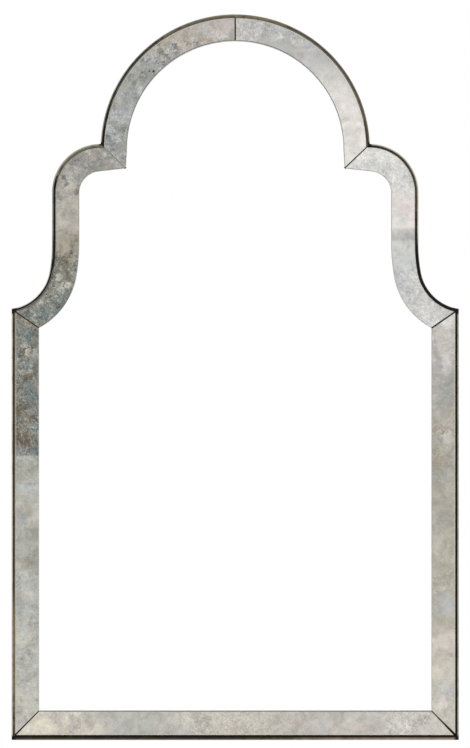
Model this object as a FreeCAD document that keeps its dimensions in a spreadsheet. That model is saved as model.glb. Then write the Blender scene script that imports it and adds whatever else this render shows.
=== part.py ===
import FreeCAD, Part
import math
import os
import Sketcher

# An arched wall mirror: a plain plate behind a border of mitred antique glass, in a slim rim.
# +Z is up, +X is to the viewer's right, and the front faces -Y.
# The wall is the plane Y = 0, and the origin lies on it behind the middle of the outline.

# Rows of adhesive beads, and flats round the ring's wire, which stand for a round section.
BEAD_ROW_COUNT = 3
WIRE_FLAT_COUNT = 8

# Driving sizes in millimetres, and angles in degrees.
SIZES = {
    # The outline, seen from the front.
    "overall_width": 610,
    "overall_height": 990,
    "flare_width": 55,
    "shoulder_width": 66.3,
    "shoulder_rise": 224.9,
    "shoulder_above_spring": 6.9,
    "flare_radius": 62,
    "flare_ease_radius": 220,
    "flare_ease_angle": 10,
    # The widths of the rim and of the glass border, from the outline inwards.
    "rim_width": 4.5,
    "rim_bottom_width": 6.4,
    "border_width": 36.8,
    "border_arch_width": 35.7,
    "border_bottom_width": 39.2,
    "border_notch_lift": 4,
    "border_notch_spread": 1.6,
    # The layers, from the wall forwards.
    "bumper_height": 5.5,
    "board_thickness": 12,
    "recess_depth": 5,
    "plate_thickness": 4,
    "tape_thickness": 1,
    "strip_thickness": 4,
    "rim_stand_proud": 2.5,
    # Edges, joints and clearances.
    "strip_arris": 0.8,
    "rim_bevel": 2,
    "board_arris": 1,
    "strip_joint_gap": 0.4,
    "rim_joint_gap": 0.1,
    "strip_rim_gap": 0.3,
    "board_rim_gap": 0.2,
    "plate_lap": 10,
    "plate_recess_gap": 1,
    # The tape on the land of the board.
    "tape_width": 10,
    "tape_joint_gap": 12,
    # The adhesive beads behind the plate.
    "bead_width": 45,
    "bead_column_share": 0.6,
    "bead_length_share": 0.7,
    # The bumpers.
    "bumper_width": 13,
    "bumper_tip_width": 10.5,
    "bumper_side_inset": 22,
    "bumper_base_inset": 24,
    "bumper_top_inset": 44.5,
    # The hanger straps.
    "hanger_inset": 16,
    "hanger_rise": 13,
    "strap_thickness": 1.2,
    "strap_width": 12,
    "strap_length": 36,
    "strap_end_radius": 5,
    "strap_hole_radius": 1.9,
    "first_screw_drop": 12,
    "screw_pitch": 15,
    # The rings.
    "ring_wire_diameter": 2.5,
    "ring_eye_clearance": 0.05,
    "ring_width": 20,
    "ring_reach": 20,
    "ring_corner_radius": 3,
    "ring_rest_gap": 0.3,
    # The screws.
    "screw_shank_radius": 1.75,
    "screw_length": 10,
    "screw_point_length": 3,
    "screw_head_radius": 3.5,
    "screw_head_height": 2.2,
    "screw_head_top_radius": 2.6,
    "screw_slot_width": 0.9,
    "screw_slot_length": 3.6,
    "screw_slot_depth": 1.1,
    "screw_hole_gap": 0.1,
    # The overrun of every cut.
    "overrun": 10,
}

# Places worked out from the driving sizes.
LAYOUT = {
    # The outline's edges and the centres of its arcs.
    "base_z": "-Sizes.overall_height / 2",
    "side_x": "Sizes.overall_width / 2",
    "shoulder_half_width": "side_x - Sizes.flare_width",
    "arch_radius": "shoulder_half_width - Sizes.shoulder_width",
    "arch_z": "Sizes.overall_height / 2 - arch_radius",
    "shoulder_z": "arch_z + Sizes.shoulder_above_spring",
    "side_z": "shoulder_z - Sizes.shoulder_rise",
    "round_x": "sqrt(arch_radius^2 - max(0; shoulder_z - arch_z)^2)",
    "round_radius": "shoulder_half_width - round_x",
    "round_z": "shoulder_z - round_radius",
    "ease_x": "shoulder_half_width + Sizes.flare_ease_radius",
    "ease_step": "Sizes.flare_ease_radius - Sizes.flare_radius",
    "flare_x": "ease_x - ease_step * cos(Sizes.flare_ease_angle)",
    "flare_z": "side_z + sqrt(Sizes.flare_radius^2 - (flare_x - side_x)^2)",
    "ease_z": "flare_z + ease_step * sin(Sizes.flare_ease_angle)",
    # Distances of the layers from the wall.
    "board_front": "Sizes.bumper_height + Sizes.board_thickness",
    "recess_floor": "board_front - Sizes.recess_depth",
    "plate_back": "board_front - Sizes.plate_thickness",
    "strip_back": "board_front + Sizes.tape_thickness",
    "strip_front": "strip_back + Sizes.strip_thickness",
    "rim_depth": "strip_front + Sizes.rim_stand_proud - Sizes.bumper_height",
    # The tape lies midway across the land between the board's edge and the recess.
    "land_outer": "Sizes.rim_width + Sizes.board_rim_gap",
    "land_inner": "Sizes.border_width - Sizes.plate_lap - Sizes.plate_recess_gap",
    "tape_outer": "(land_outer + land_inner - Sizes.tape_width) / 2",
    # The adhesive beads, spread over the plate below the arch.
    "plate_half_width": "shoulder_half_width - Sizes.border_width + Sizes.plate_lap",
    "bead_column_x": "Sizes.bead_column_share * plate_half_width",
    "bead_first_z": "base_z + Sizes.border_bottom_width",
    "bead_row_rise": f"(shoulder_z - bead_first_z) / {BEAD_ROW_COUNT}",
    # The hanger's eye, rolled round the ring's straight bar.
    "eye_bore_radius": "Sizes.ring_wire_diameter / 2 + Sizes.ring_eye_clearance",
    "eye_radius": "eye_bore_radius + Sizes.strap_thickness",
    "hanger_x": "shoulder_half_width - Sizes.hanger_inset",
    "hanger_z": "ease_z + Sizes.hanger_rise",
    "strap_back": "Sizes.bumper_height - Sizes.strap_thickness",
    "eye_y": "-(Sizes.bumper_height - eye_radius)",
    "eye_tip_z": "-sqrt(eye_radius^2 - (eye_radius - Sizes.strap_thickness)^2)",
    "ring_bow_radius": "Sizes.ring_width / 2",
    "ring_lean_in": "eye_radius - Sizes.ring_wire_diameter / 2 - Sizes.ring_rest_gap",
    "ring_lean": "asin(ring_lean_in / Sizes.ring_reach)",
    "screw_hole_radius": "Sizes.screw_shank_radius + Sizes.screw_hole_gap",
    "screw_hole_depth": "Sizes.screw_length - Sizes.strap_thickness + Sizes.screw_hole_gap",
}

SMALL = 1e-6

doc = FreeCAD.newDocument("arched_mirror")
sheet = doc.addObject("Spreadsheet::Sheet", "Sizes")
for row, (alias, size) in enumerate(SIZES.items(), start=1):
    sheet.set(f"A{row}", alias)
    sheet.set(f"B{row}", str(size))
    sheet.setAlias(f"B{row}", alias)
doc.recompute()

layout = doc.addObject("App::VarSet", "Layout")
for name, formula in LAYOUT.items():
    layout.addProperty("App::PropertyFloat", name, "Layout")
    layout.setExpression(name, formula)
doc.recompute()


def number(formula):
    """The value of a formula of sizes and places."""
    found = layout.evalExpression(formula)
    return float(getattr(found, "Value", found))


# Outlines are runs of points and edges. An edge is None for a line, or (radius, side) for an arc,
# where side is 1 with the arc's centre to the left of the way along the run, and -1 to the right.
class Run:
    def __init__(self, x, z):
        self.points = [(x, z)]
        self.edges = []

    def line(self, x, z):
        self.points.append((x, z))
        self.edges.append(None)
        return self

    def arc(self, x, z, radius, side):
        self.points.append((x, z))
        self.edges.append((radius, side))
        return self

    def join(self, other):
        """Goes on along another run, over a line where its start lies apart from this end."""
        last = [number(part) for part in self.points[-1]]
        first = [number(part) for part in other.points[0]]
        if math.dist(last, first) > SMALL:
            self.line(*other.points[0])
        self.points += other.points[1:]
        self.edges += other.edges
        return self

    def turned(self):
        """The same run walked the other way."""
        back = Run(*self.points[-1])
        back.points += self.points[-2::-1]
        back.edges = [edge and (edge[0], -edge[1]) for edge in reversed(self.edges)]
        return back

    def mirrored(self):
        """The run's mirror image in the plane X = 0, walked the other way."""
        other = self.turned()
        other.points = [(f"-({x})", z) for x, z in other.points]
        other.edges = [edge and (edge[0], -edge[1]) for edge in other.edges]
        return other


class Inset:
    """A line inside the outline, by its distances from the sides, the arch and the bottom.

    Its corner in the notch may be lifted and spread from there.
    """

    def __init__(self, side, arch, bottom, lift="0", spread="0"):
        self.side = side
        self.arch = arch
        self.bottom = bottom
        self.lift = lift
        self.spread = spread

    def moved(self, distance):
        """The line this far further in."""
        moved = [f"({width} + {distance})" for width in (self.side, self.arch, self.bottom)]
        return Inset(*moved)

    def crown(self):
        return "0", f"(Layout.arch_z + Layout.arch_radius - {self.arch})"

    def base_corner(self):
        return f"(Layout.side_x - {self.side})", f"(Layout.base_z + {self.bottom})"

    def side_corner(self):
        x = f"(Layout.side_x - {self.side})"
        radius = f"(Sizes.flare_radius + {self.side})"
        return x, f"(Layout.flare_z - sqrt({radius}^2 - (Layout.flare_x - {x})^2))"

    def notch_corner(self):
        z = f"(Layout.shoulder_z - {self.side} + {self.lift})"
        radius = f"(Layout.arch_radius - {self.arch})"
        return f"(sqrt({radius}^2 - max(0; {z} - Layout.arch_z)^2) + {self.spread})", z

    def side_run(self):
        return Run(*self.base_corner()).line(*self.side_corner())

    def bottom_run(self):
        x, z = self.base_corner()
        return Run(f"-({x})", z).line(x, z)

    def shoulder_run(self):
        flare = f"(Sizes.flare_radius + {self.side})"
        ease = f"(Sizes.flare_ease_radius + {self.side})"
        wall_x = f"(Layout.shoulder_half_width - {self.side})"
        round_radius = f"(Layout.round_radius - {self.side})"
        corner_x, corner_z = self.notch_corner()
        rise = f"({corner_z} - Layout.round_z)"
        reach = f"({corner_x} - Layout.round_x)"
        run = Run(*self.side_corner())
        run.arc(
            f"(Layout.ease_x - {ease} * cos(Sizes.flare_ease_angle))",
            f"(Layout.ease_z - {ease} * sin(Sizes.flare_ease_angle))",
            flare,
            -1,
        )
        run.arc(wall_x, "Layout.ease_z", ease, -1)
        run.line(wall_x, "Layout.round_z")
        if number(self.lift) > 0:
            # A straight that leaves the rounded shoulder on a tangent rises to the lifted corner.
            leave = f"(atan2({rise}; {reach}) - acos({round_radius} / hypot({reach}; {rise})))"
            run.arc(
                f"(Layout.round_x + {round_radius} * cos({leave}))",
                f"(Layout.round_z + {round_radius} * sin({leave}))",
                round_radius,
                1,
            )
            return run.line(corner_x, corner_z)
        if number(corner_x) < number("Layout.round_x") - SMALL:
            run.arc("Layout.round_x", f"(Layout.round_z + {round_radius})", round_radius, 1)
            return run.line(corner_x, corner_z)
        return run.arc(corner_x, corner_z, round_radius, 1)

    def arch_run(self):
        radius = f"(Layout.arch_radius - {self.arch})"
        run = Run(*self.notch_corner())
        if number(run.points[0][1]) < number("Layout.arch_z"):
            run.line(radius, "Layout.arch_z")
        return run.arc(*self.crown(), radius, 1)

    def whole(self):
        """The closed line all the way round."""
        right = self.side_run().join(self.shoulder_run()).join(self.arch_run())
        return right.join(right.mirrored())


OUTLINE = Inset("0", "0", "0")
RIM_INSIDE = Inset("Sizes.rim_width", "Sizes.rim_width", "Sizes.rim_bottom_width")
BORDER_INSIDE = Inset(
    "Sizes.border_width",
    "Sizes.border_arch_width",
    "Sizes.border_bottom_width",
    "Sizes.border_notch_lift",
    "Sizes.border_notch_spread",
)
STRIP_OUTSIDE = RIM_INSIDE.moved("Sizes.strip_rim_gap")
BOARD_OUTSIDE = RIM_INSIDE.moved("Sizes.board_rim_gap")
PLATE_OUTSIDE = BORDER_INSIDE.moved("-Sizes.plate_lap")
RECESS_OUTSIDE = PLATE_OUTSIDE.moved("-Sizes.plate_recess_gap")
TAPE_OUTSIDE = RIM_INSIDE.moved("(Layout.tape_outer - Sizes.rim_width)")
TAPE_INSIDE = TAPE_OUTSIDE.moved("Sizes.tape_width")

# The corners where each length of rim, glass or tape meets the next one.
PIECE_SEAMS = {
    "arch": ["crown", "notch_corner"],
    "shoulder": ["notch_corner", "side_corner"],
    "side": ["side_corner", "base_corner"],
    "bottom": ["base_corner"],
}


def body_plane(body, role):
    return next(plane for plane in body.Origin.OriginFeatures if plane.Role == role)


def new_sketch(body, name, role, height):
    """A sketch on one of the body's own planes, raised from it by a formula."""
    sketch = body.newObject("Sketcher::SketchObject", name)
    sketch.AttachmentSupport = [(body_plane(body, role), "")]
    sketch.MapMode = "FlatFace"
    sketch.setExpression("AttachmentOffset.Base.z", height)
    return sketch


def bind(sketch, kind, places, formula):
    """A dimension of the sketch, tied to a formula."""
    found = sketch.addConstraint(Sketcher.Constraint(kind, *places, number(formula)))
    sketch.setExpression(f"Constraints[{found}]", formula)


def draw_edge(sketch, start, end, edge):
    """Adds a line or an arc, and gives its ends' names in the sketch and its middle point."""
    middle = (start + end) / 2
    if edge is None:
        index = sketch.addGeometry(Part.LineSegment(start, end))
        return (index, 1), (index, 2), middle
    radius_formula, side = edge
    radius = number(radius_formula)
    chord = end - start
    left = FreeCAD.Vector(-chord.y, chord.x, 0).normalize()
    height = math.sqrt(max(radius**2 - (chord.Length / 2) ** 2, 0))
    centre = middle + left * (side * height)
    first, last = (start, end) if side > 0 else (end, start)
    turn = [math.atan2(point.y - centre.y, point.x - centre.x) for point in (first, last)]
    circle = Part.Circle(centre, FreeCAD.Vector(0, 0, 1), radius)
    index = sketch.addGeometry(Part.ArcOfCircle(circle, *turn))
    bind(sketch, "Radius", [index], radius_formula)
    ends = ((index, 1), (index, 2)) if side > 0 else ((index, 2), (index, 1))
    return *ends, centre - left * (side * radius)


def draw_loop(sketch, run):
    """Draws a closed run with every corner dimensioned, and gives the middle of each edge."""
    closed = Run(*run.points[0]).join(run)
    if [number(part) for part in run.points[0]] != [number(part) for part in run.points[-1]]:
        closed.line(*run.points[0])
    corners = [FreeCAD.Vector(number(x), number(z), 0) for x, z in closed.points]
    drawn = []
    for start, end, edge in zip(corners, corners[1:], closed.edges):
        drawn.append(draw_edge(sketch, start, end, edge))
    for (_, last, _), (first, _, _), (x, z) in zip(drawn[-1:] + drawn, drawn, closed.points):
        sketch.addConstraint(Sketcher.Constraint("Coincident", *last, *first))
        bind(sketch, "DistanceX", [-1, 1, *first], x)
        bind(sketch, "DistanceY", [-1, 1, *first], z)
    return [middle for _, _, middle in drawn]


def draw_circle(sketch, x, z, radius):
    centre = FreeCAD.Vector(number(x), number(z), 0)
    index = sketch.addGeometry(Part.Circle(centre, FreeCAD.Vector(0, 0, 1), number(radius)))
    bind(sketch, "Radius", [index], radius)
    bind(sketch, "DistanceX", [-1, 1, index, 3], x)
    bind(sketch, "DistanceY", [-1, 1, index, 3], z)


def new_body(name):
    body = doc.addObject("PartDesign::Body", name)
    body.Label = name
    return body


def pad(body, sketch, length, midplane=False):
    feature = body.newObject("PartDesign::Pad", f"{sketch.Name}_pad")
    feature.Profile = sketch
    feature.setExpression("Length", length)
    feature.SideType = "Symmetric" if midplane else "One side"
    doc.recompute()
    return feature


def pocket(body, sketch, length, towards_normal=False):
    """Cuts a sketch into the body, against its normal or along it, and sees that it took something away."""
    before = body.Shape.Volume
    feature = body.newObject("PartDesign::Pocket", f"{sketch.Name}_pocket")
    feature.Profile = sketch
    feature.setExpression("Length", length)
    feature.Reversed = towards_normal
    doc.recompute()
    if not feature.Shape.Volume < before - SMALL:
        raise RuntimeError(f"{feature.Name} cuts nothing")
    return feature


def dress(body, kind, size, base, names):
    """A chamfer or fillet of one size on named edges or faces."""
    feature = body.newObject(f"PartDesign::{kind}", f"{body.Name}_{kind.lower()}")
    feature.Base = (base, names)
    feature.setExpression("Radius" if kind == "Fillet" else "Size", size)
    doc.recompute()
    return feature


def lies_at(part, depth):
    """Whether a face or edge lies flat at a distance from the wall."""
    box = part.BoundBox
    return box.YLength < SMALL and abs(box.YMin + depth) < SMALL


def face_at(shape, depth):
    """The name of the flat face at a distance from the wall."""
    for index, face in enumerate(shape.Faces, start=1):
        if lies_at(face, depth):
            return f"Face{index}"
    raise RuntimeError("no flat face lies there")


def edges_at(shape, depth):
    """The names of the edges at a distance from the wall."""
    edges = enumerate(shape.Edges, start=1)
    return [f"Edge{index}" for index, edge in edges if lies_at(edge, depth)]


def edges_through(shape, points):
    """The names of the edges that pass through some of the points."""
    names = []
    for index, edge in enumerate(shape.Edges, start=1):
        if any(edge.distToShape(Part.Vertex(point))[0] < SMALL for point in points):
            names.append(f"Edge{index}")
    return names


def seam_slot(start, end, width):
    """The closed run of a saw cut of some width along the seam between two corners."""
    start_x, start_z = start
    end_x, end_z = end
    across_x = f"({end_x} - {start_x})"
    across_z = f"({end_z} - {start_z})"
    length = f"hypot({across_x}; {across_z})"
    along = (f"({across_x} / {length})", f"({across_z} / {length})")
    over = "Sizes.overrun"

    def corner(point, way, side):
        x, z = point
        return (
            f"({x} + {way} * {over} * {along[0]} - {side} * {width} / 2 * {along[1]})",
            f"({z} + {way} * {over} * {along[1]} + {side} * {width} / 2 * {along[0]})",
        )

    slot = Run(*corner(start, -1, 1))
    slot.line(*corner(start, -1, -1))
    slot.line(*corner(end, 1, -1))
    return slot.line(*corner(end, 1, 1))


def band(name, piece, outside, inside, joint_gap, back, thickness):
    """A length of rim, glass or tape between two insets, cut back at its seams.

    The middles of its outer edges on the front come with it.
    """
    body = new_body(name)
    run_name = f"{piece}_run"
    outer = getattr(outside, run_name)()
    loop = getattr(outside, run_name)().join(getattr(inside, run_name)().turned())
    sketch = new_sketch(body, f"{name}_profile", "XZ_Plane", back)
    middles = draw_loop(sketch, loop)
    pad(body, sketch, thickness)
    for seam in PIECE_SEAMS[piece]:
        for mirror in [False, True] if piece == "bottom" else [False]:
            slot = seam_slot(getattr(outside, seam)(), getattr(inside, seam)(), joint_gap)
            cut = new_sketch(body, f"{name}_{seam}_cut", "XZ_Plane", back)
            draw_loop(cut, slot.mirrored() if mirror else slot)
            pocket(body, cut, thickness, towards_normal=True)
    depth = number(f"{back} + {thickness}")
    return body, [FreeCAD.Vector(point.x, -depth, point.y) for point in middles[: len(outer.edges)]]


def mirror_copy(name, source):
    """The same piece on the other side of the plane X = 0."""
    copy = doc.addObject("Part::Mirroring", name)
    copy.Label = name
    copy.Source = source
    copy.Normal = FreeCAD.Vector(1, 0, 0)
    return copy


def group(name, members):
    compound = doc.addObject("Part::Compound", name)
    compound.Label = name
    compound.Links = members
    return compound


def place(thing, x, y, z):
    for axis, formula in zip("xyz", (x, y, z)):
        thing.setExpression(f"Placement.Base.{axis}", formula)


def border_pieces(kind, outside, inside, joint_gap, back, thickness, finish=None):
    """The arch, shoulder and side lengths of both hands, and the bottom length."""
    pieces = []
    for piece in PIECE_SEAMS:
        name = f"{piece}_{kind}" if piece == "bottom" else f"{piece}_{kind}_right"
        body, outer_middles = band(name, piece, outside, inside, joint_gap, back, thickness)
        if finish:
            finish(body, outer_middles)
        pieces.append(body)
        if piece != "bottom":
            pieces.append(mirror_copy(f"{piece}_{kind}_left", body))
    return pieces


def polish_strip(body, outer_middles):
    """A glass strip has a small flat arris at its sight edge and seams. Its outer edges are square."""
    square = edges_through(body.Shape, outer_middles)
    front = edges_at(body.Shape, number("Layout.strip_front"))
    shown = [name for name in front if name not in square]
    dress(body, "Chamfer", "Sizes.strip_arris", body.Tip, shown)


def bevel_rail(body, outer_middles):
    """The rim's front is bevelled towards the outline."""
    dress(body, "Chamfer", "Sizes.rim_bevel", body.Tip, edges_through(body.Shape, outer_middles))


def backing_board():
    body = new_body("backing_board")
    outline = new_sketch(body, "board_outline", "XZ_Plane", "Sizes.bumper_height")
    draw_loop(outline, BOARD_OUTSIDE.whole())
    pad(body, outline, "Sizes.board_thickness")
    back = face_at(body.Shape, number("Sizes.bumper_height"))
    dress(body, "Chamfer", "Sizes.board_arris", body.Tip, [back])
    recess = new_sketch(body, "board_recess", "XZ_Plane", "Layout.board_front")
    draw_loop(recess, RECESS_OUTSIDE.whole())
    pocket(body, recess, "Sizes.recess_depth")
    holes = new_sketch(body, "board_screw_holes", "XZ_Plane", "Sizes.bumper_height")
    for x, z in screw_places():
        draw_circle(holes, x, z, "Layout.screw_hole_radius")
    pocket(body, holes, "Layout.screw_hole_depth", towards_normal=True)
    return body


def mirror_plate():
    body = new_body("mirror_plate")
    outline = new_sketch(body, "plate_outline", "XZ_Plane", "Layout.plate_back")
    draw_loop(outline, PLATE_OUTSIDE.whole())
    pad(body, outline, "Sizes.plate_thickness")
    return body


def plate_adhesive():
    """Two columns of upright beads between the recess floor and the plate."""
    beads = []
    for hand in (-1, 1):
        for row in range(BEAD_ROW_COUNT):
            bead = doc.addObject("Part::Box", f"bead_{hand + 1}_{row}")
            bead.setExpression("Length", "Sizes.bead_width")
            bead.setExpression("Width", "Layout.plate_back - Layout.recess_floor")
            bead.setExpression("Height", "Sizes.bead_length_share * Layout.bead_row_rise")
            left = f"{hand} * Layout.bead_column_x - Sizes.bead_width / 2"
            rise_share = f"({row} + (1 - Sizes.bead_length_share) / 2)"
            foot = f"Layout.bead_first_z + {rise_share} * Layout.bead_row_rise"
            place(bead, left, "-Layout.plate_back", foot)
            beads.append(bead)
    return group("plate_adhesive", beads)


def wall_bumpers():
    """Four square rubber bumpers that taper to the wall, two near the base and two below the flares."""
    bumpers = []
    levels = {
        "lower": "Layout.base_z + Sizes.bumper_base_inset",
        "upper": "Layout.side_z - Sizes.bumper_top_inset",
    }
    for hand in (-1, 1):
        for level, height in levels.items():
            bumper = doc.addObject("Part::Wedge", f"bumper_{level}_{hand + 1}")
            bumper.setExpression("Ymin", "-Sizes.bumper_height")
            bumper.setExpression("Ymax", "0")
            for axis in "XZ":
                for end, width in (("", "Sizes.bumper_width"), ("2", "Sizes.bumper_tip_width")):
                    bumper.setExpression(f"{axis}{end}min", f"-{width} / 2")
                    bumper.setExpression(f"{axis}{end}max", f"{width} / 2")
            place(bumper, f"{hand} * (Layout.side_x - Sizes.bumper_side_inset)", "0", height)
            bumpers.append(bumper)
    return group("wall_bumpers", bumpers)


def hanger_strap():
    """A strap lies on the board, and its top is rolled into an eye. It is drawn from the eye's axis."""
    body = new_body("hanger_strap_right")
    front = "-Layout.eye_radius"
    back = "(Sizes.strap_thickness - Layout.eye_radius)"
    end = "-Sizes.strap_length"
    side = Run(front, end)
    side.line(back, end)
    side.line(back, "Layout.eye_tip_z")
    side.arc("Layout.eye_radius", "0", "Layout.eye_radius", 1)
    side.arc("0", "Layout.eye_radius", "Layout.eye_radius", 1)
    side.arc(front, "0", "Layout.eye_radius", 1)
    profile = new_sketch(body, "strap_profile", "YZ_Plane", "0")
    draw_loop(profile, side)
    draw_circle(profile, "0", "0", "Layout.eye_bore_radius")
    pad(body, profile, "Sizes.strap_width", midplane=True)
    half_width = number("Sizes.strap_width / 2")
    mid_thickness = number(f"({front} + {back}) / 2")
    corners = [FreeCAD.Vector(x, mid_thickness, number(end)) for x in (-half_width, half_width)]
    dress(body, "Fillet", "Sizes.strap_end_radius", body.Tip, edges_through(body.Shape, corners))
    holes = new_sketch(body, "strap_holes", "XZ_Plane", "Layout.eye_radius")
    draw_circle(holes, "0", "-Sizes.first_screw_drop", "Sizes.strap_hole_radius")
    draw_circle(holes, "0", "-Sizes.first_screw_drop - Sizes.screw_pitch", "Sizes.strap_hole_radius")
    pocket(body, holes, "Sizes.strap_thickness")
    place(body, "Layout.hanger_x", "Layout.eye_y", "Layout.hanger_z")
    return body


def wire_section(body, name, role, height, centres, axis_x="0"):
    """The ring's wire cut across at each centre along the sketch's first axis, measured from axis_x."""
    section = new_sketch(body, name, role, height)
    section.AttachmentOffset.Base.x = number(axis_x)
    section.setExpression("AttachmentOffset.Base.x", axis_x)
    radius = "Sizes.ring_wire_diameter / 2"
    turns = [360 * (flat + 1 / 2) / WIRE_FLAT_COUNT for flat in range(WIRE_FLAT_COUNT)]
    corners = [(f"{radius} * cos({turn})", f"{radius} * sin({turn})") for turn in turns]
    for centre in centres:
        rod = Run(f"{centre} + {corners[0][0]}", corners[0][1])
        for across, up in corners[1:]:
            rod.line(f"{centre} + {across}", up)
        draw_loop(section, rod)
    return section


def bend_wire(body, section, angle, reverse):
    """Turns the wire's section about the sketch's upright axis."""
    bend = body.newObject("PartDesign::Revolution", f"{section.Name}_bend")
    bend.Profile = section
    bend.ReferenceAxis = (section, ["V_Axis"])
    bend.Angle = angle
    bend.Reversed = reverse
    doc.recompute()
    return bend


def hanger_ring():
    """A ring of wire that leans on to the board: a bar in the strap's eye, two corners, legs and a bow."""
    body = new_body("hanger_ring_right")
    half = "Layout.ring_bow_radius"
    corner = "Sizes.ring_corner_radius"
    inner = f"({half} - {corner})"
    bow_z = f"(Sizes.ring_reach - {half})"
    bar = wire_section(body, "ring_bar", "YZ_Plane", "0", ["0"])
    pad(body, bar, f"2 * {inner}", midplane=True)
    for hand, reverse in ((1, False), (-1, True)):
        turn = wire_section(
            body, f"ring_corner_{hand + 1}", "XY_Plane", corner, [f"{hand} * {corner}"], f"{hand} * {inner}"
        )
        bend_wire(body, turn, 90, reverse)
    legs = wire_section(body, "ring_legs", "XY_Plane", corner, [half, f"-{half}"])
    pad(body, legs, f"{bow_z} - {corner}")
    bow = wire_section(body, "ring_bow", "XY_Plane", bow_z, [half])
    bend_wire(body, bow, 180, True)
    body.Placement.Rotation = FreeCAD.Rotation(FreeCAD.Vector(1, 0, 0), number("Layout.ring_lean"))
    body.setExpression("Placement.Rotation.Angle", "Layout.ring_lean")
    place(body, "Layout.hanger_x", "Layout.eye_y", "Layout.hanger_z")
    doc.recompute()
    return body


def screw_places():
    """Each hanger screw's place across and up the board."""
    drops = ["Sizes.first_screw_drop", "(Sizes.first_screw_drop + Sizes.screw_pitch)"]
    sides = ["-Layout.hanger_x", "Layout.hanger_x"]
    return [(x, f"Layout.hanger_z - {drop}") for x in sides for drop in drops]


def hanger_screw(name):
    """A pan-head screw that points to -Y, drawn from the middle of its head's underside."""
    body = new_body(name)
    shank = "Sizes.screw_shank_radius"
    head = "Sizes.screw_head_radius"
    half = Run("0", "-Sizes.screw_length")
    half.line(shank, "-(Sizes.screw_length - Sizes.screw_point_length)")
    half.line(shank, "0")
    half.line(head, "0")
    half.line("Sizes.screw_head_top_radius", "Sizes.screw_head_height")
    half.line("0", "Sizes.screw_head_height")
    profile = new_sketch(body, f"{name}_profile", "XY_Plane", "0")
    draw_loop(profile, half)
    turned = body.newObject("PartDesign::Revolution", f"{name}_turned")
    turned.Profile = profile
    turned.ReferenceAxis = (profile, ["V_Axis"])
    doc.recompute()
    slots = new_sketch(body, f"{name}_slots", "XZ_Plane", "-Sizes.screw_head_height")
    long_half = "Sizes.screw_slot_length / 2"
    short_half = "Sizes.screw_slot_width / 2"
    cross = Run(long_half, f"-{short_half}").line(long_half, short_half)
    cross.line(short_half, short_half).line(short_half, long_half)
    cross.line(f"-{short_half}", long_half).line(f"-{short_half}", short_half)
    cross.line(f"-{long_half}", short_half).line(f"-{long_half}", f"-{short_half}")
    cross.line(f"-{short_half}", f"-{short_half}").line(f"-{short_half}", f"-{long_half}")
    cross.line(short_half, f"-{long_half}").line(short_half, f"-{short_half}")
    draw_loop(slots, cross)
    pocket(body, slots, "Sizes.screw_slot_depth", towards_normal=True)
    return body


def hanger_screws():
    screws = []
    for count, (x, z) in enumerate(screw_places(), start=1):
        screw = hanger_screw(f"hanger_screw_{count}")
        place(screw, x, "-Layout.strap_back", z)
        screws.append(screw)
    return group("hanger_screws", screws)


subparts = [backing_board(), plate_adhesive(), mirror_plate()]
subparts.append(
    group(
        "strip_tape",
        border_pieces(
            "tape",
            TAPE_OUTSIDE,
            TAPE_INSIDE,
            "Sizes.tape_joint_gap",
            "Layout.board_front",
            "Sizes.tape_thickness",
        ),
    )
)
subparts += border_pieces(
    "strip",
    STRIP_OUTSIDE,
    BORDER_INSIDE,
    "Sizes.strip_joint_gap",
    "Layout.strip_back",
    "Sizes.strip_thickness",
    polish_strip,
)
subparts += border_pieces(
    "rail",
    OUTLINE,
    RIM_INSIDE,
    "Sizes.rim_joint_gap",
    "Sizes.bumper_height",
    "Layout.rim_depth",
    bevel_rail,
)
strap = hanger_strap()
ring = hanger_ring()
subparts += [strap, mirror_copy("hanger_strap_left", strap)]
subparts += [ring, mirror_copy("hanger_ring_left", ring)]
subparts += [hanger_screws(), wall_bumpers()]
doc.recompute()

# Nothing is written unless every object and every shape is sound.
for thing in doc.Objects:
    if {"Invalid", "Error"} & set(thing.State):
        raise RuntimeError(f"{thing.Name} failed: {thing.State}")
for subpart in subparts:
    if subpart.Shape.isNull() or not subpart.Shape.isValid():
        raise RuntimeError(f"{subpart.Label} has no sound shape")

os.makedirs("parts", exist_ok=True)
for subpart in subparts:
    subpart.Shape.exportStep(f"parts/{subpart.Label}.step")
    print(f"{subpart.Label}: {len(subpart.Shape.Solids)} solids, {subpart.Shape.Volume:.1f} mm3")
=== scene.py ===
import math

import bpy
from mathutils import Matrix, Vector


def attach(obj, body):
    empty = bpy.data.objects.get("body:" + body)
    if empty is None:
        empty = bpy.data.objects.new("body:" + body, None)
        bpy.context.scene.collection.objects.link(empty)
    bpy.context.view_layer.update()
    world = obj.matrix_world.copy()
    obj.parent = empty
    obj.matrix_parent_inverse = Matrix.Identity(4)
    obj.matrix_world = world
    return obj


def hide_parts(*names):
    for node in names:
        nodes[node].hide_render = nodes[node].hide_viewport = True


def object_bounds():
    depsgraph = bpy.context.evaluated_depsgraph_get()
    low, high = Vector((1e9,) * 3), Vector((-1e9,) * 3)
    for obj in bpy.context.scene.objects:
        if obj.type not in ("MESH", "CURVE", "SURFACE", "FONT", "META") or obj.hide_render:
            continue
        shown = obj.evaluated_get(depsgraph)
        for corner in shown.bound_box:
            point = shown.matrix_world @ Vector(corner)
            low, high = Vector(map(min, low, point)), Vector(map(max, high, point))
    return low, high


# The looks of an arched wall mirror: a plain plate, a border of antique glass and a worn black rim.
# Lengths are in metres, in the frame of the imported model: +Z is up and the front faces -Y.

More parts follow.
